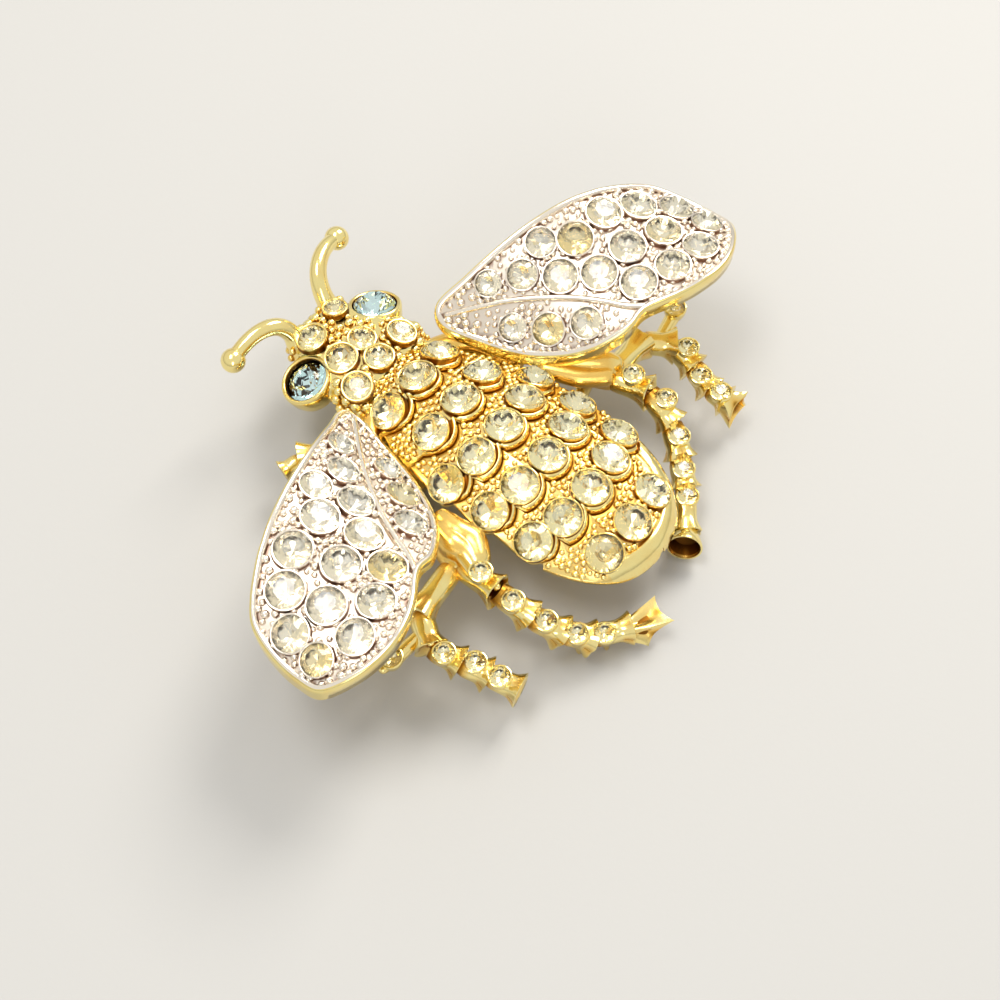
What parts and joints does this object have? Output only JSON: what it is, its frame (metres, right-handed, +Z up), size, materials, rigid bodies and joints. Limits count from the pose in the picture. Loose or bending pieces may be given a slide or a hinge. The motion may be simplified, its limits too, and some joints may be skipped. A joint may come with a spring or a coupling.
{
  "type": "insect brooch",
  "caption": "Bee brooch with six overlapping rows of cut stones, two domed stone-set wings, six segmented legs and a hidden bar pin on its flat back.",
  "frame": {"origin": "bottom centre of the whole box, on the surface that the brooch lies on", "axes": "+X towards the bee's right wing, +Y towards its head, +Z up, away from the pin"},
  "size_m": [0.0479, 0.0377, 0.013],
  "materials": {
    "gold_plate": "polished gold plate over white metal",
    "rhodium_plate": "polished rhodium plate, gold at the side walls",
    "pin_metal": "satin",
    "aqua_stone": "foil-backed cut glass",
    "champagne_stone": "foil-backed cut glass",
    "clear_stone": "foil-backed cut glass, some stones yellowed"
  },
  "bodies": {
    "root": {"body": "gold_plate", "leg_frame": "gold_plate", "wing_left": "rhodium_plate", "wing_right": "rhodium_plate", "pin_back": "pin_metal", "eye_left": "aqua_stone", "eye_right": "aqua_stone", "head_stones": "champagne_stone", "thorax_stones": "champagne_stone", "abdomen_stones": "champagne_stone", "wing_left_stones": "clear_stone", "wing_right_stones": "clear_stone", "hind_leg_left_stones": "champagne_stone", "hind_leg_right_stones": "champagne_stone", "mid_leg_left_stones": "champagne_stone", "mid_leg_right_stones": "champagne_stone"}
  },
  "joints": []
}
